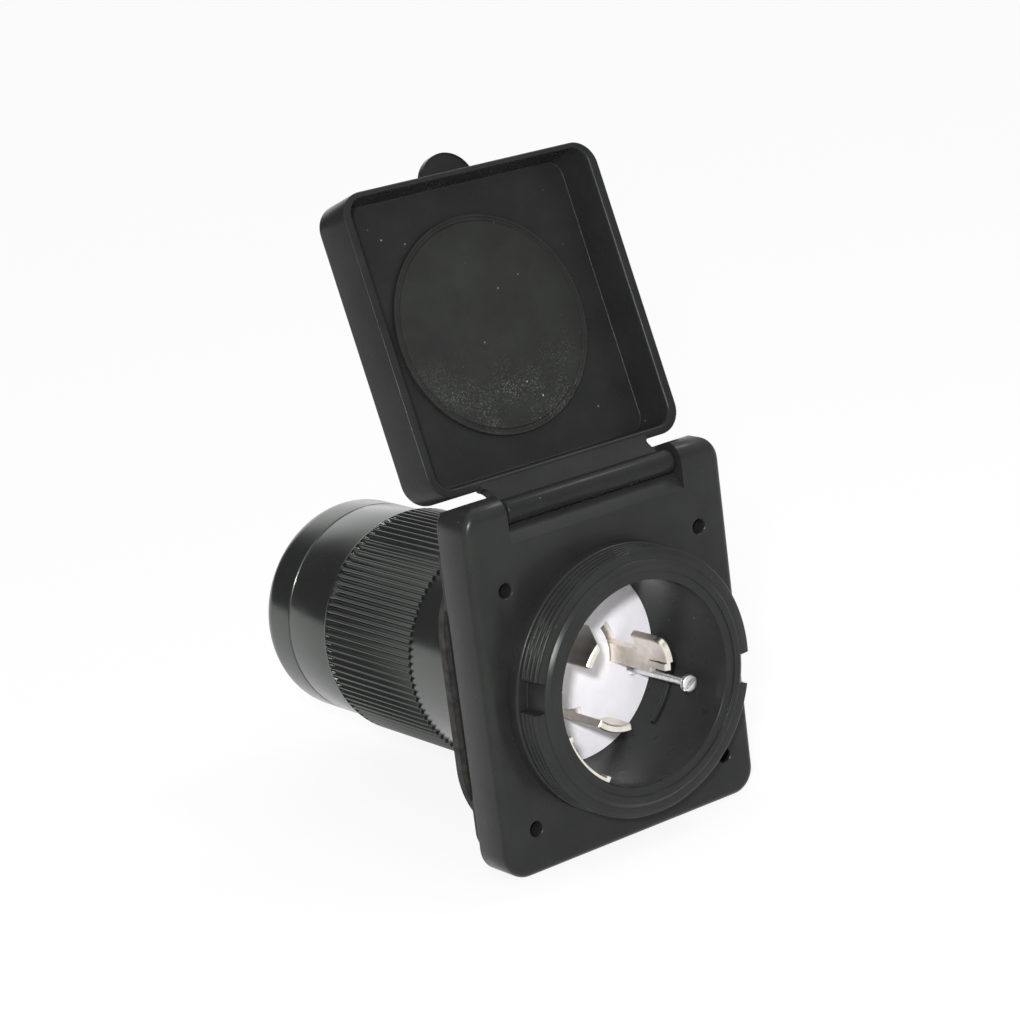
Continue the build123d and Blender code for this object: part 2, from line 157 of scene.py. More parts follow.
# Screw in the carrier
SCREW_X = 24.0
SCREW_Z = -8.7
SCREW_SHANK_R = 1.3
SCREW_HEAD_R = 3.1
SCREW_HEAD_FRONT = -30.2
SCREW_HEAD_REAR = -28.6
SCREW_FLARE_R = 2.5
SCREW_FLARE_LENGTH = 2.4
SCREW_SLOT_WIDTH = 0.9
SCREW_SLOT_DEPTH = 0.8
SCREW_SLOT_ANGLE = radians(29)

# Tube through the panel, coupling ring, barrel, end cap and cord bush
TUBE_R = 38.2
TUBE_END = 37.0
SPIGOT_R = 35.5
SEAL_Y = 62.0
RING_START = 37.2
RING_END = 86.8
RING_ROOT = 38.1
RING_CREST = 39.2
RING_RIBS = 96
RING_GAP = 0.07
BARREL_R = 37.5
BARREL_INNER = 32.6
SLEEVE_START = 64.0
BARREL_START = 87.0
BARREL_END = 111.5
CAP_SKIRT = 103.5
CAP_SKIRT_R = 32.5
CAP_INNER_R = 29.5
CAP_WALL = 127.5
CAP_END = 130.5
CAP_ROUND = 8.0
CORD_R = 9.0
BUSH_NECK_R = 13.0
BUSH_R = 16.0
BUSH_START = 124.5
BUSH_END = 133.5


# Lines and arcs

def spread(first, sweep, steps):
    """Values in equal steps from the first one through a sweep, both ends included."""
    return [first + sweep * k / steps for k in range(steps + 1)]


def full_turn(segments):
    """Angles in equal steps round a circle."""
    return [2 * pi * k / segments for k in range(segments)]


def arc(x, y, radius, angles):
    """Points on a circle about (x, y)."""
    return [(x + radius * cos(angle), y + radius * sin(angle)) for angle in angles]


def around(radius, y, angle):
    """Point at a radius and an angle about the bore's axis."""
    return radius * cos(angle), y, radius * sin(angle)


def at_depth(outline, y):
    """Outline in (x, z), laid at one y."""
    return [(x, y, z) for x, z in outline]


def softened(corners, steps=4):
    """Closed outline from (x, y, radius) corners, each turned by an arc of its radius."""
    outline = []
    for k, (x, y, radius) in enumerate(corners):
        if radius == 0:
            outline.append((x, y))
            continue
        here = Vector((x, y))
        before = (Vector(corners[k - 1][:2]) - here).normalized()
        after = (Vector(corners[(k + 1) % len(corners)][:2]) - here).normalized()
        half = before.angle(after) / 2
        centre = here + (before + after).normalized() * radius / sin(half)
        start = here + before * radius / tan(half) - centre
        end = here + after * radius / tan(half) - centre
        first = atan2(start.y, start.x)
        sweep = (atan2(end.y, end.x) - first + pi) % (2 * pi) - pi
        outline += arc(centre.x, centre.y, radius, spread(first, sweep, steps))
    return outline


def rectangle(half, bottom, top, radius, steps=12):
    """Rounded rectangle about x = 0."""
    corners = [(-half, bottom, radius), (half, bottom, radius), (half, top, radius), (-half, top, radius)]
    return softened(corners, steps)


# Shapes: each is a list of points and a list of faces

def loft(rings, looped=False):
    """Skin over rings of equally many points, closed at its ends or looped back to the first ring."""
    count = len(rings[0])
    points = [p for ring in rings for p in ring]
    faces = []
    for k in range(len(rings) if looped else len(rings) - 1):
        low = k * count
        high = (k + 1) % len(rings) * count
        for i in range(count):
            j = (i + 1) % count
            faces.append((low + i, low + j, high + j, high + i))
    if not looped:
        faces.append(tuple(range(count - 1, -1, -1)))
        faces.append(tuple(range(len(points) - count, len(points))))
    return points, faces


def lathe(profile, segments=256):
    """Closed (radius, y) outline turned about the bore's axis."""
    return loft([[around(r, y, turn) for r, y in profile] for turn in full_turn(segments)], looped=True)


def rod(radius, front, rear, segments=96):
    """Round bar along the bore's axis."""
    return loft([[around(radius, y, turn) for turn in full_turn(segments)] for y in (front, rear)])


def slab(outline, front, rear, edge=0.0):
    """Convex outline seen from the front, made solid between two y values, with rounded edges."""
    steps = 3
    middle = sum((Vector(p) for p in outline), Vector((0, 0))) / len(outline)
    reach = max((Vector(p) - middle).length for p in outline)
    rings = []
    for k in range(2 * steps + 2):
        angle = pi / 2 * (k if k <= steps else 2 * steps + 1 - k) / steps
        depth = edge * (1 - sin(angle))
        scale = 1 - edge * (1 - cos(pi / 2 - angle)) / reach
        y = front + depth if k <= steps else rear - depth
        rings.append(at_depth([middle + (Vector(p) - middle) * scale for p in outline], y))
    return loft(rings)


def across(outline, left, right):
    """Outline in (y, z), made solid between two x values."""
    return loft([[(x, y, z) for y, z in outline] for x in (left, right)])


def joined(*shapes):
    """Several shapes as one."""
    points, faces = [], []
    for more, skin in shapes:
        faces += [tuple(i + len(points) for i in face) for face in skin]
        points += more
    return points, faces


def placed(shape, matrix):
    """The shape moved by a matrix."""
    points, faces = shape
    return [tuple(matrix @ Vector(p)) for p in points], faces


def at_holes(shape):
    """The shape repeated at the four screw holes."""
    sides = (-HOLE_HALF_SPACING, HOLE_HALF_SPACING)
    return joined(*(placed(shape, Matrix.Translation((x, 0, z))) for x in sides for z in sides))


# Meshes

def bare(name, shape):
    """Mesh object in metres with its normals outward and no doubled points."""
    doubled, vanishing = 1e-7, 1e-8
    points, faces = shape
    mesh = bpy.data.meshes.new(name)
    mesh.from_pydata([tuple(c * MM for c in p) for p in points], [], faces)
    work = bmesh.new()
    work.from_mesh(mesh)
    bmesh.ops.remove_doubles(work, verts=work.verts, dist=doubled)
    bmesh.ops.dissolve_degenerate(work, dist=vanishing, edges=work.edges)
    bmesh.ops.recalc_face_normals(work, faces=work.faces)
    work.to_mesh(mesh)
    work.free()
    obj = bpy.data.objects.new(name, mesh)
    bpy.context.scene.collection.objects.link(obj)
    return obj


def settle(obj):
    """Make the object's modifiers into its mesh."""
    bpy.context.view_layer.update()
    graph = bpy.context.evaluated_depsgraph_get()
    mesh = bpy.data.meshes.new_from_object(obj.evaluated_get(graph))
    obj.modifiers.clear()
    obj.data = mesh


def cut(obj, *cutters):
    """Take each cutting shape out of the object."""
    for shape in cutters:
        tool = bare("cutter", shape)
        step = obj.modifiers.new("cut", "BOOLEAN")
        step.operation = "DIFFERENCE"
        step.solver = "EXACT"
        step.object = tool
        settle(obj)
        bpy.data.objects.remove(tool)


def ease(obj, width, segments):
    """Round the object's sharp edges."""
    sharp = 38
    step = obj.modifiers.new("ease", "BEVEL")
    step.width = width * MM
    step.segments = segments
    step.limit_method = "ANGLE"
    step.angle_limit = radians(sharp)
    step.use_clamp_overlap = True
    settle(obj)


def coat(obj, material):
    """Give the object one material."""
    obj.data.materials.clear()
    obj.data.materials.append(material)


def dress(obj, body, node, material, sharp=34):
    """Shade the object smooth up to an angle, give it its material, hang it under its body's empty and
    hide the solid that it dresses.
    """
    obj.data.shade_smooth()
    obj.data.set_sharp_from_angle(angle=radians(sharp))
    coat(obj, material)
    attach(obj, body)
    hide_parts(node)


# Materials

# Places of the two colours of a mix, and of its result
MIX_FIRST = 6
MIX_SECOND = 7
MIX_RESULT = 2


class Look:
    """A material in the making: its surface and the patterns laid over the object."""

    def __init__(self, name):
        self.material = bpy.data.materials.new(name)
        self.material.use_nodes = True
        self.tree = self.material.node_tree
        self.surface = self.tree.nodes["Principled BSDF"]
        self.place = self.tree.nodes.new("ShaderNodeTexCoord").outputs["Object"]

    def join(self, start, end):
        self.tree.links.new(start, end)

    def noise(self, size, detail, stretch=None):
        """Noise whose patches are about the given size in millimetres."""
        node = self.tree.nodes.new("ShaderNodeTexNoise")
        node.inputs["Scale"].default_value = 1 / (size * MM)
        node.inputs["Detail"].default_value = detail
        node.inputs["Roughness"].default_value = 0.55
        place = self.place
        if stretch:
            turn = self.tree.nodes.new("ShaderNodeMapping")
            turn.inputs["Scale"].default_value = stretch
            self.join(self.place, turn.inputs["Vector"])
            place = turn.outputs["Vector"]
        self.join(place, node.inputs["Vector"])
        return node.outputs["Fac"]

    def ranged(self, value, low, high, to_low=0.0, to_high=1.0):
        """A value between low and high, carried over to another range."""
        node = self.tree.nodes.new("ShaderNodeMapRange")
        for key, number in zip(("From Min", "From Max", "To Min", "To Max"), (low, high, to_low, to_high)):
            node.inputs[key].default_value = number
        self.join(value, node.inputs["Value"])
        return node.outputs["Result"]

    def cloud(self, size, detail, low, high, to_low=0.0, to_high=1.0, stretch=None):
        """Noise between low and high, carried over to another range."""
        return self.ranged(self.noise(size, detail, stretch), low, high, to_low, to_high)

    def specks(self, spacing, size):
        """One in the core of each speck, fading to its edge, where specks lie about spacing apart."""
        core = 0.4
        node = self.tree.nodes.new("ShaderNodeTexVoronoi")
        node.inputs["Scale"].default_value = 1 / (spacing * MM)
        self.join(self.place, node.inputs["Vector"])
        return self.ranged(node.outputs["Distance"], size / spacing, core * size / spacing)

    def along(self, axis):
        """Place along one axis, in metres."""
        node = self.tree.nodes.new("ShaderNodeSeparateXYZ")
        self.join(self.place, node.inputs["Vector"])
        return node.outputs[axis]

    def times(self, first, second):
        """A pattern multiplied by another one or by a number, kept between zero and one."""
        node = self.tree.nodes.new("ShaderNodeMath")
        node.operation = "MULTIPLY"
        node.use_clamp = True
        self.join(first, node.inputs[0])
        if isinstance(second, float):
            node.inputs[1].default_value = second
        else:
            self.join(second, node.inputs[1])
        return node.outputs["Value"]

    def mixed(self, factor, first, second):
        """Colour between a first one, which is a triple or a pattern, and a second triple."""
        node = self.tree.nodes.new("ShaderNodeMix")
        node.data_type = "RGBA"
        self.join(factor, node.inputs["Factor"])
        if isinstance(first, tuple):
            node.inputs[MIX_FIRST].default_value = (*first, 1.0)
        else:
            self.join(first, node.inputs[MIX_FIRST])
        node.inputs[MIX_SECOND].default_value = (*second, 1.0)
        return node.outputs[MIX_RESULT]

    def colour(self, pattern):
        self.join(pattern, self.surface.inputs["Base Color"])

    def rough(self, pattern):
        self.join(pattern, self.surface.inputs["Roughness"])

    def shine(self, level):
        self.surface.inputs["Specular IOR Level"].default_value = level

    def bump(self, pattern, height):
        """Unevenness of the surface, with its height in millimetres."""
        node = self.tree.nodes.new("ShaderNodeBump")
        node.inputs["Distance"].default_value = height * MM
        node.inputs["Strength"].default_value = 1.0
        self.join(pattern, node.inputs["Height"])
        self.join(node.outputs["Normal"], self.surface.inputs["Normal"])


def moulded_plastic(name, dark, light, roughness, shine, dust):
    """Black moulded plastic: cloudy tone, fine mould grain and a few pale specks."""
    pale, cool_tint = (0.42, 0.42, 0.4), (0.94, 1.0, 0.95, 1)
    look = Look(name)
    look.shine(shine)
    look.surface.inputs["Specular Tint"].default_value = cool_tint
    tone = look.mixed(look.cloud(14, 5, 0.35, 0.7), dark, light)
    if dust:
        patchy = look.cloud(26, 2, 0.5, 0.64, 0.0, dust)
        tone = look.mixed(look.times(look.specks(5.0, 0.36), patchy), tone, pale)
    look.colour(tone)
    look.rough(look.cloud(5, 6, 0.3, 0.7, roughness * 0.88, roughness * 1.15))
    look.bump(look.noise(0.35, 2), 0.003 * roughness)
    return look.material


def pad_rubber():
    """Dull rubber with a greenish bloom and pale dust that lies thickest on the lower part."""
    dust_top, dust_full = 0.108, 0.086
    mist_share, fine_share = 0.35, 0.35
    mist_tone, fine_tone, large_tone = (0.09, 0.093, 0.086), (0.3, 0.31, 0.28), (0.45, 0.45, 0.42)
    look = Look("pad_rubber")
    look.shine(0.1)
    bloom = look.mixed(look.cloud(11, 5, 0.35, 0.68), (0.0165, 0.0174, 0.0164), (0.0215, 0.0228, 0.021))
    low = look.ranged(look.along("Z"), dust_top, dust_full)
    dusty = look.times(low, look.cloud(16, 4, 0.42, 0.62, 0.1, 1.0))
    fine = look.times(look.specks(0.8, 0.26), dusty)
    mist = look.times(look.cloud(0.9, 4, 0.45, 0.7), dusty)
    large = look.times(look.specks(7.0, 0.42), look.ranged(low, 0.0, 1.0, 0.25, 0.8))
    tone = look.mixed(look.times(mist, mist_share), bloom, mist_tone)
    tone = look.mixed(look.times(fine, fine_share), tone, fine_tone)
    look.colour(look.mixed(large, tone, large_tone))
    look.rough(look.cloud(4, 5, 0.3, 0.7, 0.62, 0.8))
    look.bump(look.noise(0.5, 3), 0.02)
    return look.material


def gasket_rubber():
    """Dark grey rubber with an uneven skin."""
    look = Look("gasket_rubber")
    look.shine(0.2)
    look.colour(look.mixed(look.cloud(3, 6, 0.35, 0.65), (0.02, 0.0195, 0.0175), (0.042, 0.04, 0.036)))
    look.rough(look.cloud(2, 4, 0.3, 0.7, 0.72, 0.88))
    look.bump(look.noise(0.6, 4), 0.06)
    return look.material


def carrier_plastic():
    """White insulating plastic with a faint lilac cast and slight soiling."""
    look = Look("carrier_plastic")
    look.shine(0.35)
    look.colour(look.mixed(look.cloud(7, 5, 0.4, 0.75), (0.89, 0.875, 0.92), (0.83, 0.81, 0.84)))
    look.rough(look.cloud(4, 4, 0.3, 0.7, 0.38, 0.5))
    look.bump(look.noise(0.5, 2), 0.008)
    return look.material


def metal(name, light, dark, roughness, grain=(1.0, 1.0, 1.0)):
    """Bright metal: dull patches, and fine streaks that are long where the grain is small."""
    look = Look(name)
    look.surface.inputs["Metallic"].default_value = 1.0
    look.colour(look.mixed(look.cloud(3, 5, 0.35, 0.7), light, dark))
    look.rough(look.cloud(1.2, 4, 0.3, 0.7, roughness - 0.06, roughness + 0.1, grain))
    look.bump(look.noise(0.25, 2, grain), 0.001)
    return look.material


HOUSING = moulded_plastic(
    "housing_plastic",
    dark=(0.0145, 0.0151, 0.0145),
    light=(0.0186, 0.0194, 0.0186),
    roughness=0.3,
    shine=0.19,
    dust=0.2,
)
LID = moulded_plastic(
    "lid_plastic",
    dark=(0.0145, 0.0152, 0.0146),
    light=(0.0185, 0.0194, 0.0185),
    roughness=0.28,
    shine=0.1,
    dust=0.7,
)
BARREL = moulded_plastic(
    "barrel_plastic",
    dark=(0.0105, 0.0113, 0.0106),
    light=(0.013, 0.014, 0.013),
    roughness=0.19,
    shine=0.95,
    dust=0.1,
)
BLOCK = moulded_plastic(
    "block_plastic",
    dark=(0.02, 0.02, 0.02),
    light=(0.032, 0.032, 0.031),
    roughness=0.5,
    shine=0.4,
    dust=0.0,
)
PAD = pad_rubber()
GASKET = gasket_rubber()
CARRIER = carrier_plastic()
BLADE = metal("blade_metal", (0.9, 0.85, 0.77), (0.76, 0.7, 0.61), 0.32, (1.0, 0.12, 1.0))
PIN = metal("pin_steel", (0.8, 0.8, 0.79), (0.68, 0.68, 0.67), 0.2, (0.15, 1.0, 1.0))
SCREW = metal("screw_steel", (0.86, 0.87, 0.85), (0.74, 0.75, 0.73), 0.3)
CLAMP = metal("clamp_brass", (0.74, 0.58, 0.3), (0.6, 0.46, 0.24), 0.3)


# Flange: plate with rounded front edge, hinge ears, recess, step behind and screw holes

def ear_profile():
    """Outline in (y, z) of all that lies above the ears."""
    front, rear, top = FLANGE_FRONT - CLEAR, FLANGE_REAR + CLEAR, FLANGE_TOP + CLEAR_ABOVE
    outline = arc(HINGE_Y, HINGE_Z, EAR_ROUND, spread(pi, -(pi / 2 + LID_LEAN), 24))
    y, z = outline[-1]
    outline += [(rear, z - (rear - y) * tan(LID_LEAN)), (rear, top)]
    return outline + [(front, top), (front, HINGE_Z)]


def recess_profile():
    """Outline in (y, z) of the hinge recess: front slope, cradle under the knuckle, the lid's stop."""
    front, rear, top = FLANGE_FRONT - CLEAR, FLANGE_REAR + CLEAR, FLANGE_TOP + CLEAR_ABOVE
    cradle = [radians(angle) for angle in spread(CRADLE_START, CRADLE_END - CRADLE_START, 12)]
    outline = [(front, RECESS_FLOOR - RECESS_CHAMFER - CLEAR)]
    outline += arc(HINGE_Y, HINGE_Z, KNUCKLE_R + CRADLE_GAP, cradle)
    outline += [(STOP_WALL, outline[-1][1]), (STOP_WALL, STOP_Z)]
    outline.append((rear, STOP_Z + STOP_SLOPE * (rear - STOP_WALL)))
    return outline + [(rear, top), (front, top)]


def screw_holes():
    """Cutter for the four screw holes, slightly flared at the front."""
    start, flare_end, end = FLANGE_FRONT - 1, FLANGE_FRONT + 0.35, 1
    mouth_r = HOLE_R + 1.2
    profile = [(0, start), (mouth_r, start), (HOLE_R, flare_end), (HOLE_R, end), (0, end)]
    return at_holes(lathe(profile, 40))


def bore_hole():
    """Cutter for the hole that the collar stands in, a little wider than the bore."""
    wider = 2.0
    return rod(BORE_R + wider, FLANGE_FRONT - CLEAR, CLEAR)


def flange_plate():
    """Plate with a rounded front edge, cut to its ears, recess and holes."""
    half_width, edge, rear_round, rear_middle = 60, 0.8, 0.5, 0.15
    sections = []
    for angle in spread(0.0, pi / 2, 6):
        sections.append((FLANGE_ROUND * (1 - sin(angle)), FLANGE_FRONT + FLANGE_ROUND * (1 - cos(angle))))
    sections += [
        (0.0, FLANGE_REAR - rear_round),
        (rear_middle, FLANGE_REAR - rear_middle),
        (rear_round, FLANGE_REAR),
    ]
    rings = []
    for inset, y in sections:
        bottom, top = FLANGE_BOTTOM + inset, FLANGE_TOP - inset
        rings.append(at_depth(rectangle(FLANGE_HALF - inset, bottom, top, FLANGE_CORNER - inset, 16), y))
    plate = bare("flange_plate", loft(rings))
    cut(plate, across(ear_profile(), -half_width, half_width))
    cut(plate, across(recess_profile(), -EAR_INNER, EAR_INNER))
    cut(plate, bore_hole(), screw_holes())
    ease(plate, edge, 4)
    dress(plate, "inlet", "flange_housing", HOUSING)


def flange_step():
    """Smaller step between the plate and the gasket."""
    sunk, edge = 1, 0.4
    outline = rectangle(FLANGE_HALF - STEP_INSET, FLANGE_BOTTOM + STEP_INSET, STEP_TOP, FLANGE_CORNER)
    step = bare("flange_step", slab(outline, FLANGE_REAR - sunk, GASKET_FRONT, edge))
    cut(step, bore_hole(), screw_holes())
    dress(step, "inlet", "flange_housing", HOUSING)


flange_plate()
flange_step()


# Collar, bore and the tube through the panel

def collar():
    """Bore wall, stepped front face, bevelled rim and the boss that the thread runs up to."""
    outer, rear = BORE_R + 0.8, FLANGE_FRONT + 1
    corners = [
        (BORE_R, SEAL_Y, 0.3),
        (BORE_R, LEDGE_REAR, 0),
        (LEDGE_R, LEDGE_REAR, 0.2),
        (LEDGE_R, LEDGE_FRONT, 0.2),
        (BORE_R, LEDGE_FRONT, 0),
        (BORE_R, COLLAR_FRONT + SEAT_DEPTH, 0.5),
        (SEAT_R, COLLAR_FRONT + SEAT_DEPTH, 0.12),
        (SEAT_R, COLLAR_FRONT, 0.25),
        (COLLAR_LIP_R, COLLAR_FRONT, 0.4),
        (COLLAR_R, COLLAR_FRONT + COLLAR_BEVEL, 0.4),
        (COLLAR_R, BOSS_FRONT, 0.4),
        (BOSS_R, BOSS_FRONT, 0.8),
        (BOSS_R, rear, 0),
        (outer, rear, 0),
        (outer, SEAL_Y, 0.3),
    ]
    shell = bare("collar_and_bore", lathe(softened(corners), 288))
    dress(shell, "inlet", "flange_housing", HOUSING)


def panel_tube():
    """Smooth tube behind the flange and the thinner spigot that the coupling ring turns on."""
    inner, front = BORE_R + 0.7, FLANGE_REAR - 2
    corners = [
        (inner, front, 0),
        (TUBE_R, front, 0),
        (TUBE_R, TUBE_END, 0.5),
        (SPIGOT_R, TUBE_END, 0.2),
        (SPIGOT_R, SEAL_Y, 0.3),
        (inner, SEAL_Y, 0),
    ]
    tube = bare("panel_tube", lathe(softened(corners)))
    dress(tube, "inlet", "flange_housing", BARREL)


def ridge(phase):
    """Height of the thread, from 0 to 1, over one pitch, with its crest at whole numbers."""
    valley, flank = 0.25, 0.45
    rise = abs((phase % 1.0) - 0.5) * 2
    return min(1.0, max(0.0, (rise - valley) / flank))


def thread_band(start, end):
    """Half of the collar's thread, between its two gaps."""
    rows, columns, ramp, chamfer, sunk, base = 64, 200, radians(0.5), 0.4, 0.3, 0.5
    low, rear = COLLAR_R - sunk, BOSS_FRONT + sunk
    depths = spread(THREAD_FRONT, rear - THREAD_FRONT, rows)
    rings = []
    for angle in [start, *spread(start + ramp, end - start - 2 * ramp, columns), end]:
        line = []
        for y in depths:
            rise = ridge(y / THREAD_PITCH + angle / (2 * pi) + THREAD_PHASE)
            height = THREAD_ROOT + (THREAD_CREST - THREAD_ROOT) * rise
            height -= max(0.0, chamfer - (y - THREAD_FRONT))
            line.append((low if angle in (start, end) else height, y))
        line += [(low - base, rear), (low - base, THREAD_FRONT)]
        rings.append([around(r, y, angle) for r, y in line])
    return loft(rings)


def threads():
    """The two halves of the thread."""
    bands = []
    for turn in (0.0, pi):
        start = THREAD_GAP_MIDDLE + turn + THREAD_GAP / 2
        bands.append(thread_band(start, start + pi - THREAD_GAP))
    thread = bare("collar_thread", joined(*bands))
    dress(thread, "inlet", "flange_housing", HOUSING, 50)


def bore_rib():
    """Short raised bar on the bore's lower right wall, its ends run out into the wall."""
    edge, sunk, steps = 0.35, 0.5, 40
    front, rear = BORE_RIB_Y - BORE_RIB_WIDTH / 2, BORE_RIB_Y + BORE_RIB_WIDTH / 2
    top, root = BORE_R - BORE_RIB_HEIGHT, BORE_R + sunk
    section = softened([(top, front, edge), (top, rear, edge), (root, rear, 0), (root, front, 0)])
    rings = []
    for k, angle in enumerate(spread(BORE_RIB_START, BORE_RIB_END - BORE_RIB_START, steps)):
        drop = BORE_RIB_HEIGHT if k in (0, steps) else 0.0
        rings.append([around(r + drop, y, angle) for r, y in section])
    dress(bare("bore_rib", loft(rings)), "inlet", "flange_housing", HOUSING)


collar()
panel_tube()
threads()
bore_rib()


# Lid: drawn with the hinge axis at the origin, y back from the rim's side and z away from the hinge

OPEN = Matrix.Translation((0, HINGE_Y, HINGE_Z)) @ Matrix.Rotation(-LID_LEAN, 4, "X")


def lid_ring(side, near, far, corner, y):
    """Section of the lid, drawn in at its sides, near the hinge and far from it."""
    return at_depth(rectangle(LID_HALF - side, LID_NEAR + near, LID_FAR - far, corner, 14), y)


def lid_outside():
    """Sections of the outside, from the rounded back to the rim's outer edge."""
    back, draft = LID_RIM + LID_DEPTH, LID_DEPTH * tan(LID_DRAFT)
    path = []
    for angle in spread(0.0, pi / 2, 5):
        path.append((draft + LID_BACK_ROUND * (1 - sin(angle)), back - LID_BACK_ROUND * (1 - cos(angle))))
    for angle in spread(0.0, pi / 2, 4):
        path.append((RIM_OUTER_ROUND * (1 - cos(angle)), LID_RIM + RIM_OUTER_ROUND * (1 - sin(angle))))
    return [lid_ring(inset, inset, inset, LID_CORNER - inset, y) for inset, y in path]


def lid_pocket():
    """Sections of the pocket, from the rim's inner edge down the sloping walls to the floor."""
    corner_share = 0.4
    bottom, corner = LID_RIM + POCKET_DEPTH, LID_CORNER - RIM_NEAR
    foot = tan(POCKET_SLOPE) * (POCKET_DEPTH - POCKET_ROUND)
    path = []
    for angle in spread(0.0, pi / 2, 4):
        inset = RIM_INNER_ROUND * (sin(angle) - 1)
        path.append((inset, corner - inset, LID_RIM + RIM_INNER_ROUND * (1 - cos(angle))))
    for angle in spread(0.0, pi / 2, 6):
        inset = foot + POCKET_ROUND * (1 - cos(angle))
        path.append((inset, corner - corner_share * inset, bottom - POCKET_ROUND * (1 - sin(angle))))
    rings = []
    for inset, radius, y in path:
        rings.append(lid_ring(RIM_SIDE + inset, RIM_NEAR + inset, RIM_FAR + inset, radius, y))
    return rings


def lid_neck():
    """Flat neck between knuckle and lid, its ends hollowed so that the slots beside it end round."""
    overlap, edge = 0.4, 0.05
    end = LID_NEAR + RIM_NEAR / 2
    front_end, back_end = Vector((LID_RIM, end)), Vector((LID_RIM + NECK_THICKNESS, end))
    back_start = Vector((KNUCKLE_R, 0.0))
    rings = []
    for share in spread(0.0, 1.0, 40):
        inner, outer = NECK_START.lerp(front_end, share), back_start.lerp(back_end, share)
        gap = min(max(0.0, LID_NEAR - inner.y), max(0.0, inner.y - KNUCKLE_R + overlap))
        flare = NECK_SLOT_R - sqrt(max(0.0, NECK_SLOT_R ** 2 - max(0.0, NECK_SLOT_R - gap) ** 2))
        left, right = KNUCKLE_LEFT + NECK_INSET - flare, KNUCKLE_RIGHT - NECK_INSET + flare
        section = softened([(left, 0, edge), (right, 0, edge), (right, 1, edge), (left, 1, edge)], 2)
        rings.append([(x, *inner.lerp(outer, s)) for x, s in section])
    return loft(rings)


def lid_knuckle():
    """Round bar that turns on the hinge pin."""
    left, right, edge = KNUCKLE_LEFT, KNUCKLE_RIGHT, 1
    bar = [(0, left, 0), (KNUCKLE_R, left, edge), (KNUCKLE_R, right, edge), (0, right, 0)]
    return placed(lathe(softened(bar), 96), Matrix.Rotation(-pi / 2, 4, "Z"))


def lid_tab():
    """Finger tab: most of a disc standing on the far wall."""
    sunk, edge = 1.2, 0.7
    base = LID_FAR - sunk - TAB_CENTRE
    first = atan2(base, sqrt(TAB_R ** 2 - base ** 2))
    outline = arc(0.0, TAB_CENTRE, TAB_R, spread(first, pi - 2 * first, 48))
    return slab(outline, TAB_FRONT, TAB_FRONT + TAB_THICKNESS, edge)


def lid_pad():
    """Flat rubber disc with a groove round it, set in the lid's floor."""
    sunk, dished = 0.2, 0.2
    bed, face, groove = LID_RIM + POCKET_DEPTH + sunk, PAD_FRONT + dished, PAD_FRONT + PAD_GROOVE
    lip_r, groove_outer_r, groove_inner_r, face_r = PAD_R - 0.8, PAD_R - 1.0, PAD_R - 2.0, PAD_R - 2.3
    profile = softened([
        (0, bed, 0),
        (PAD_R, bed, 0),
        (PAD_R, PAD_FRONT, 0.3),
        (lip_r, PAD_FRONT, 0.25),
        (groove_outer_r, groove, 0.2),
        (groove_inner_r, groove, 0.2),
        (face_r, face, 0.35),
        (0, face, 0),
    ])
    return placed(lathe(profile, 192), Matrix.Translation((0, 0, PAD_CENTRE)))


def lid():
    """One moulding of tray, neck, knuckle and tab, and the pad in it."""
    tray = loft(lid_outside() + lid_pocket())
    shell = bare("lid_shell", placed(joined(tray, lid_neck(), lid_knuckle(), lid_tab()), OPEN))
    dress(shell, "lid", "lid", LID, 40)
    dress(bare("lid_pad_disc", placed(lid_pad(), OPEN)), "lid", "lid_pad", PAD)


lid()


# Barrel: ribbed coupling ring, smooth barrel, end cap and cord bush

def coupling():
    """Ring of rounded ribs, open at the front and closed by a plain rim at the rear."""
    rib_points, bevel, rim = 10, 0.3, 0.7
    bore, crest = SPIGOT_R + RING_GAP, RING_CREST - RING_ROOT
    turns = full_turn(rib_points * RING_RIBS)
    ribs = [(1 - cos(2 * pi * k / rib_points)) / 2 for k in range(len(turns))]
    stations = (
        (RING_START, -bevel, 1.0),
        (RING_START + bevel, 0.0, 1.0),
        (RING_END - rim, 0.0, 1.0),
        (RING_END - rim, crest, 0.0),
        (RING_END - bevel, crest, 0.0),
        (RING_END, crest - bevel, 0.0),
    )
    rings = []
    for y, rise, share in stations:
        low = RING_ROOT + rise
        rings.append([around(low + crest * rib * share, y, turn) for turn, rib in zip(turns, ribs)])
    for y in (RING_END, RING_START):
        rings.append([around(bore, y, turn) for turn in turns])
    ring = bare("ribbed_ring", loft(rings, looped=True))
    dress(ring, "coupling", "coupling_ring", BARREL, 45)


def barrel_sleeve():
    """Smooth barrel, with the thinner sleeve that goes into the ring."""
    profile = softened([
        (BARREL_INNER, SLEEVE_START, 0.2),
        (SPIGOT_R, SLEEVE_START, 0.2),
        (SPIGOT_R, BARREL_START, 0),
        (BARREL_R, BARREL_START, 0.4),
        (BARREL_R, BARREL_END, 0.7),
        (BARREL_INNER, BARREL_END, 0.2),
    ])
    dress(bare("barrel_sleeve", lathe(profile)), "inlet", "rear_barrel", BARREL)


def cap_shell():
    """Rounded end cap, with the skirt that goes into the barrel."""
    profile = softened([
        (CAP_SKIRT_R, CAP_SKIRT, 0.3),
        (CAP_INNER_R, CAP_SKIRT, 0.3),
        (CAP_INNER_R, CAP_WALL, 1.0),
        (BUSH_NECK_R, CAP_WALL, 0.3),
        (BUSH_NECK_R, CAP_END, 0.4),
        (BARREL_R, CAP_END, CAP_ROUND),
        (BARREL_R, BARREL_END, 0.7),
        (CAP_SKIRT_R, BARREL_END, 0),
    ], 10)
    dress(bare("cap_shell", lathe(profile)), "inlet", "end_cap", BARREL)


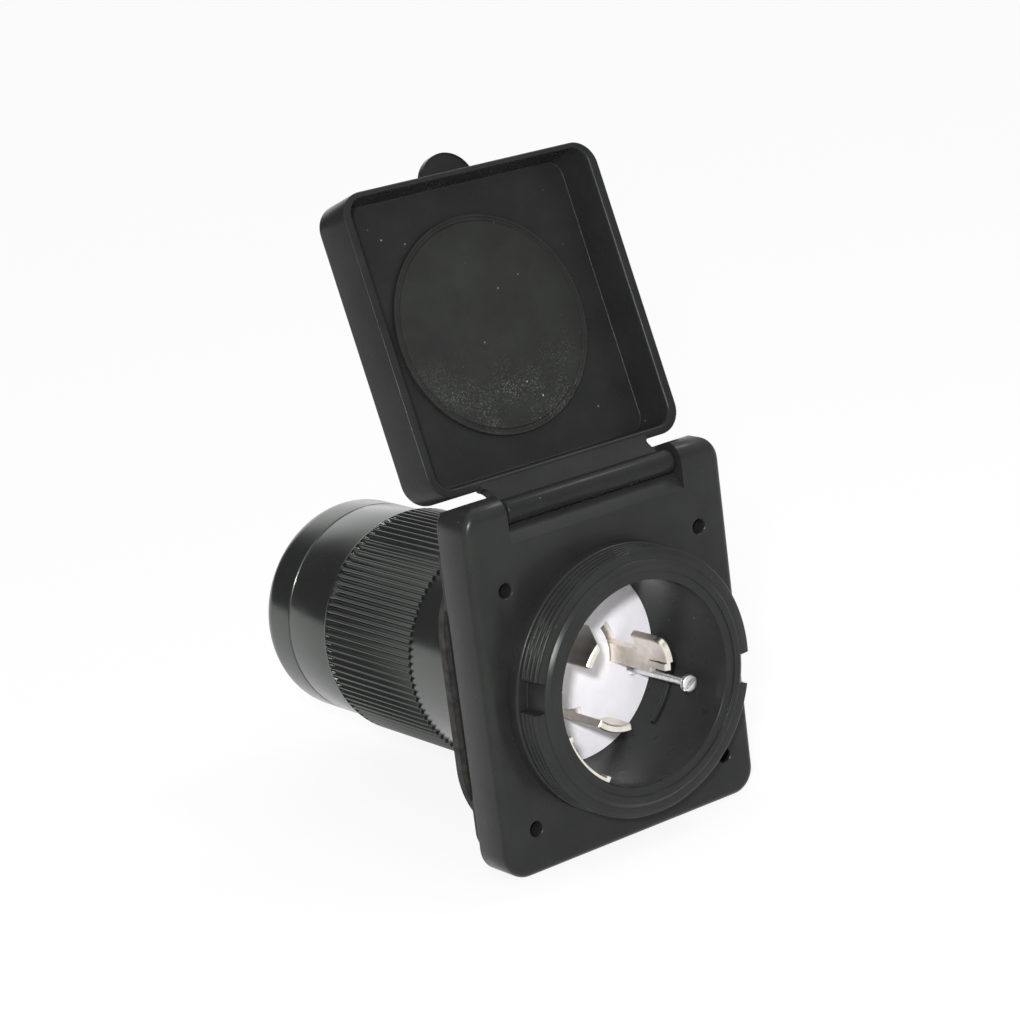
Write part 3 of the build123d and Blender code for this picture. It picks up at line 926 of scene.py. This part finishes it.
def cord_bush():
    """Rubber bush that grips the cap's wall by a groove."""
    profile = softened([
        (CORD_R, BUSH_START, 0.4),
        (BUSH_R, BUSH_START, 0.6),
        (BUSH_R, CAP_WALL, 0.2),
        (BUSH_NECK_R, CAP_WALL, 0),
        (BUSH_NECK_R, CAP_END, 0),
        (BUSH_R, CAP_END, 0.2),
        (BUSH_NECK_R, BUSH_END, 1.0),
        (CORD_R, BUSH_END, 0.6),
    ])
    dress(bare("cord_bush", lathe(profile, 128)), "inlet", "cord_grommet", GASKET)


coupling()
barrel_sleeve()
cap_shell()
cord_bush()


# Gasket behind the flange

def gasket():
    """Sheet with holes for the tube and the screws."""
    front, rear, edge = GASKET_FRONT - CLEAR, CLEAR, 0.35
    outline = rectangle(GASKET_HALF_WIDTH, -GASKET_HALF_HEIGHT, GASKET_HALF_HEIGHT, GASKET_CORNER, 24)
    sheet = bare("gasket_sheet", slab(outline, GASKET_FRONT, 0.0, edge))
    cut(sheet, rod(TUBE_R, front, rear, 192), at_holes(rod(HOLE_R, front, rear, 48)))
    dress(sheet, "inlet", "flange_gasket", GASKET)


gasket()


# Screw in the contact carrier

def carrier_screw():
    """Long screw with a domed, slotted head and a flare below it."""
    flare_end = SCREW_HEAD_REAR + SCREW_FLARE_LENGTH
    profile = softened([
        (0, SCREW_HEAD_FRONT, 0),
        (SCREW_HEAD_R, SCREW_HEAD_FRONT, 0.9),
        (SCREW_HEAD_R, SCREW_HEAD_REAR, 0.15),
        (SCREW_FLARE_R, SCREW_HEAD_REAR, 0),
        (SCREW_SHANK_R, flare_end, 0),
        (SCREW_SHANK_R, LEDGE_FRONT, 0.2),
        (0, LEDGE_FRONT, 0),
    ])
    seat = Matrix.Translation((SCREW_X, 0, SCREW_Z))
    screw = bare("carrier_screw_body", placed(lathe(profile, 64), seat))
    long, wide, above, edge = 5, SCREW_SLOT_WIDTH / 2, 1, 0.08
    outline = [(-long, -wide), (long, -wide), (long, wide), (-long, wide)]
    slot = slab(outline, SCREW_HEAD_FRONT - above, SCREW_HEAD_FRONT + SCREW_SLOT_DEPTH)
    cut(screw, placed(slot, seat @ Matrix.Rotation(-SCREW_SLOT_ANGLE, 4, "Y")))
    ease(screw, edge, 2)
    dress(screw, "inlet", "carrier_screw", SCREW)


carrier_screw()


# Nodes whose solid shape is already right

KEPT = {
    "contact_carrier": CARRIER,
    "blade_right": BLADE,
    "blade_upper": BLADE,
    "blade_lower": BLADE,
    "ground_strip": BLADE,
    "hinge_pin": PIN,
    "terminal_block": BLOCK,
    "terminal_clamps": CLAMP,
    "terminal_screws": SCREW,
    "block_screws": SCREW,
    "barrel_seal": GASKET,
}
for name, material in KEPT.items():
    coat(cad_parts[name], material)


# Camera at the photograph's viewing angle, in metres, with its focal length in pixels

def camera():
    """Put the camera in its place, and give that place with its directions up and right."""
    azimuth, elevation, roll = radians(-35.133), radians(14.744), radians(-7.365)
    distance, focal, picture_width = 0.92492, 3021.4, 1020
    target = Vector((-0.03455, -0.02556, 0.064259))
    back = Vector((sin(azimuth) * cos(elevation), -cos(azimuth) * cos(elevation), sin(elevation)))
    level = (-back).cross(Vector((0, 0, 1))).normalized()
    upright = level.cross(-back)
    right = level * cos(roll) + upright * sin(roll)
    up = upright * cos(roll) - level * sin(roll)
    data = bpy.data.cameras.new("camera")
    data.sensor_width = 36
    data.lens = focal * data.sensor_width / picture_width
    eye = bpy.data.objects.new("camera", data)
    eye.matrix_world = Matrix((right, up, back)).transposed().to_4x4()
    eye.location = target + back * distance
    bpy.context.scene.collection.objects.link(eye)
    bpy.context.scene.camera = eye
    return eye.location.copy(), up, right


# Floor, room and lamps, in metres

# Walls of the room: direction, grey, and the angles from it at which the grey starts and is full
DARK_WALL = (Vector((-0.52, 0.79, 0.25)), 0.1, 49, 24)
BRIGHT_WALL = (Vector((0.45, 0.79, 0.3)), 1.5, 31, 10)

# Greys of the room from the horizon, at 0, to the ceiling, at 1
ROOM_GREYS = ((0.0, 0.4), (0.3, 0.5), (0.62, 1.0), (1.0, 1.0))

# Place of the front lamp from the camera, and of the top lamp in the room
FRONT_LAMP_ABOVE = 0.07
FRONT_LAMP_LEFT = 0.05
TOP_LAMP = Vector((0.56, -0.13, 0.88))


def seen_directly(tree):
    """One for camera, mirror and glass rays."""
    path = tree.nodes.new("ShaderNodeLightPath")
    total = path.outputs["Is Camera Ray"]
    for key in ("Is Glossy Ray", "Is Transmission Ray"):
        node = tree.nodes.new("ShaderNodeMath")
        node.operation = "MAXIMUM"
        tree.links.new(total, node.inputs[0])
        tree.links.new(path.outputs[key], node.inputs[1])
        total = node.outputs["Value"]
    return total


def floor_paper():
    """White paper, mostly plain white where it is seen, so that only soft shadows show on it."""
    paper, plain_share = 0.86, 0.86
    material = bpy.data.materials.new("floor")
    material.use_nodes = True
    tree = material.node_tree
    surface = tree.nodes["Principled BSDF"]
    surface.inputs["Base Color"].default_value = (paper, paper, paper, 1)
    surface.inputs["Roughness"].default_value = 0.9
    surface.inputs["Specular IOR Level"].default_value = 0.0
    plain = tree.nodes.new("ShaderNodeEmission")
    plain.inputs["Strength"].default_value = 1.0
    share = tree.nodes.new("ShaderNodeMath")
    share.operation = "MULTIPLY"
    share.inputs[1].default_value = plain_share
    tree.links.new(seen_directly(tree), share.inputs[0])
    mix = tree.nodes.new("ShaderNodeMixShader")
    tree.links.new(share.outputs["Value"], mix.inputs["Fac"])
    tree.links.new(surface.outputs["BSDF"], mix.inputs[1])
    tree.links.new(plain.outputs["Emission"], mix.inputs[2])
    tree.links.new(mix.outputs["Shader"], tree.nodes["Material Output"].inputs["Surface"])
    return material


def floor(height):
    """Wide floor under the part's lowest point."""
    half = 8.0
    points = [(-half, -half, height), (half, -half, height), (half, half, height), (-half, half, height)]
    mesh = bpy.data.meshes.new("floor")
    mesh.from_pydata(points, [], [(0, 1, 2, 3)])
    obj = bpy.data.objects.new("floor", mesh)
    bpy.context.scene.collection.objects.link(obj)
    mesh.materials.append(floor_paper())


def wall(tree, place, under, direction, grey, reach, full):
    """The colour under it, turned to a grey around one direction of the room."""
    toward = tree.nodes.new("ShaderNodeVectorMath")
    toward.operation = "DOT_PRODUCT"
    toward.inputs[1].default_value = direction.normalized()
    tree.links.new(place, toward.inputs[0])
    share = tree.nodes.new("ShaderNodeMapRange")
    share.interpolation_type = "SMOOTHSTEP"
    share.inputs["From Min"].default_value = cos(radians(reach))
    share.inputs["From Max"].default_value = cos(radians(full))
    tree.links.new(toward.outputs["Value"], share.inputs["Value"])
    mix = tree.nodes.new("ShaderNodeMix")
    mix.data_type = "RGBA"
    mix.inputs[MIX_SECOND].default_value = (grey, grey, grey, 1)
    tree.links.new(share.outputs["Result"], mix.inputs["Factor"])
    tree.links.new(under, mix.inputs[MIX_FIRST])
    return mix.outputs[MIX_RESULT]


def room():
    """Bright ceiling over a dimmer horizon, with a dark wall and a bright wall behind the object."""
    world = bpy.data.worlds.new("studio")
    bpy.context.scene.world = world
    world.use_nodes = True
    tree = world.node_tree
    place = tree.nodes.new("ShaderNodeTexCoord").outputs["Generated"]
    split = tree.nodes.new("ShaderNodeSeparateXYZ")
    tree.links.new(place, split.inputs["Vector"])
    ramp = tree.nodes.new("ShaderNodeValToRGB")
    while len(ramp.color_ramp.elements) < len(ROOM_GREYS):
        ramp.color_ramp.elements.new(0.5)
    for element, (height, grey) in zip(ramp.color_ramp.elements, ROOM_GREYS):
        element.position = height
        element.color = (grey, grey, grey, 1)
    tree.links.new(split.outputs["Z"], ramp.inputs["Fac"])
    colour = wall(tree, place, ramp.outputs["Color"], *DARK_WALL)
    colour = wall(tree, place, colour, *BRIGHT_WALL)
    tree.links.new(colour, tree.nodes["Background"].inputs["Color"])


def lamp(name, place, aim, size, power):
    """Round lamp that faces its aim."""
    data = bpy.data.lights.new(name, "AREA")
    data.shape = "DISK"
    data.size = size
    data.energy = power
    obj = bpy.data.objects.new(name, data)
    obj.location = place
    obj.rotation_euler = (aim - place).to_track_quat("-Z", "Y").to_euler()
    bpy.context.scene.collection.objects.link(obj)


eye, eye_up, eye_right = camera()
floor(cad_low[2])
room()
beside_camera = eye + eye_up * FRONT_LAMP_ABOVE - eye_right * FRONT_LAMP_LEFT
lamp("front_lamp", beside_camera, aim=Vector((0, 0, 0.02)), size=0.06, power=9.0)
lamp("top_lamp", TOP_LAMP, aim=Vector((0, -0.02, 0.05)), size=0.2, power=1.5)

bpy.context.scene.view_settings.view_transform = "Standard"
